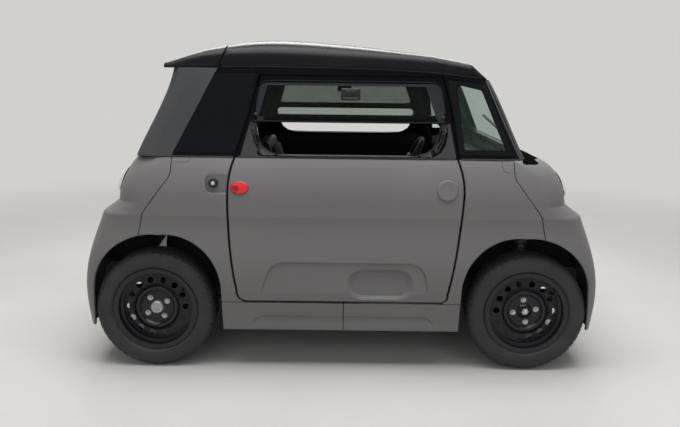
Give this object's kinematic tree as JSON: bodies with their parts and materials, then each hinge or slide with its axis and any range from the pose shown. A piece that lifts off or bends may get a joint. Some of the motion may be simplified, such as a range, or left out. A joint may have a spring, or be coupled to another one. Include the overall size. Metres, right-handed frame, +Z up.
{
  "type": "microcar",
  "caption": "Boxy two-seat electric microcar with steel wheels, front-steered, with a front-hinged right door, a rear-hinged left door and flip-up side windows.",
  "frame": {"origin": "on the ground under the middle of the car's length and width", "axes": "+X towards the front of the car, +Y to its left, +Z up"},
  "size_m": [2.41, 1.39, 1.5194],
  "materials": {
    "battery_case": "satin",
    "black_plastic": "matte",
    "body_paint": "satin",
    "cast_metal": "matte",
    "chassis_steel": "satin",
    "frame_black": "gloss",
    "hinge_steel": "satin",
    "lamp_lens": "gloss",
    "lock_metal": "satin",
    "roof_black": "satin",
    "seat_shell": "matte",
    "tinted_glass": "gloss",
    "tyre_rubber": "matte",
    "wheel_grip": "matte",
    "wheel_steel": "satin"
  },
  "bodies": {
    "body": {"battery_pack": "battery_case", "chassis_frame": "chassis_steel", "cowl_tray": "black_plastic", "dashboard": "black_plastic", "door_hinges": "hinge_steel", "door_locks": "lock_metal", "drive_motor": "cast_metal", "floor_pan": "black_plastic", "front_lower_shell": "body_paint", "front_suspension": "chassis_steel", "front_upper_panel": "body_paint", "headlamps": "lamp_lens", "left_front_quarter": "body_paint", "left_rear_quarter": "body_paint", "left_seat": "seat_shell", "left_sill": "body_paint", "quarter_glass": "tinted_glass", "rear_axle": "chassis_steel", "rear_lower_shell": "body_paint", "rear_shocks": "chassis_steel", "rear_upper_panel": "body_paint", "rear_window": "tinted_glass", "rear_window_frame": "frame_black", "right_front_quarter": "body_paint", "right_rear_quarter": "body_paint", "right_seat": "seat_shell", "right_sill": "body_paint", "roof_panel": "roof_black", "steering_column": "black_plastic", "tail_lamps": "lamp_lens", "wheel_arch_liners": "black_plastic", "windscreen": "tinted_glass", "windscreen_frame": "frame_black"},
    "right_door": {"right_door": "body_paint", "right_door_glass": "tinted_glass", "right_window_flap": "tinted_glass"},
    "left_door": {"left_door": "body_paint", "left_door_glass": "tinted_glass", "left_window_flap": "tinted_glass"},
    "steering_wheel": {"steering_wheel": "wheel_grip"},
    "front_right_knuckle": {"front_right_knuckle": "cast_metal"},
    "front_left_knuckle": {"front_left_knuckle": "cast_metal"},
    "front_right_wheel": {"front_right_tyre": "tyre_rubber", "front_right_rim": "wheel_steel"},
    "front_left_wheel": {"front_left_tyre": "tyre_rubber", "front_left_rim": "wheel_steel"},
    "rear_right_wheel": {"rear_right_tyre": "tyre_rubber", "rear_right_rim": "wheel_steel"},
    "rear_left_wheel": {"rear_left_tyre": "tyre_rubber", "rear_left_rim": "wheel_steel"}
  },
  "joints": [
    {"name": "right_door_hinge", "type": "hinge", "parent": "body", "child": "right_door", "pos_m": [0.62, -0.645, 0.65], "axis": [0, 0, 1], "range_deg": [0, 75]},
    {"name": "left_door_hinge", "type": "hinge", "parent": "body", "child": "left_door", "pos_m": [-0.58, 0.645, 0.65], "axis": [0, 0, 1], "range_deg": [0, 75]},
    {"name": "steer_right", "type": "hinge", "parent": "body", "child": "front_right_knuckle", "pos_m": [0.864, -0.515, 0.2785], "axis": [0, 0.2079, 0.9781], "range_deg": [-30, 30]},
    {"name": "steer_left", "type": "hinge", "parent": "body", "child": "front_left_knuckle", "pos_m": [0.864, 0.515, 0.2785], "axis": [0, -0.2079, 0.9781], "range_deg": [-30, 30]},
    {"name": "steering_wheel_turn", "type": "hinge", "parent": "body", "child": "steering_wheel", "pos_m": [0.38, 0.27, 0.85], "axis": [-0.9063, 0, 0.4226], "range_deg": [-360, 360]},
    {"name": "front_right_spin", "type": "hinge", "parent": "front_right_knuckle", "child": "front_right_wheel", "pos_m": [0.864, -0.575, 0.2785], "axis": [0, 1, 0], "continuous": true},
    {"name": "front_left_spin", "type": "hinge", "parent": "front_left_knuckle", "child": "front_left_wheel", "pos_m": [0.864, 0.575, 0.2785], "axis": [0, 1, 0], "continuous": true},
    {"name": "rear_right_spin", "type": "hinge", "parent": "body", "child": "rear_right_wheel", "pos_m": [-0.864, -0.575, 0.2785], "axis": [0, 1, 0], "continuous": true},
    {"name": "rear_left_spin", "type": "hinge", "parent": "body", "child": "rear_left_wheel", "pos_m": [-0.864, 0.575, 0.2785], "axis": [0, 1, 0], "continuous": true}
  ],
  "couplings": [
    {"joint": "steer_left", "follows": "steer_right", "ratio": 1},
    {"joint": "steering_wheel_turn", "follows": "steer_right", "ratio": 12}
  ]
}
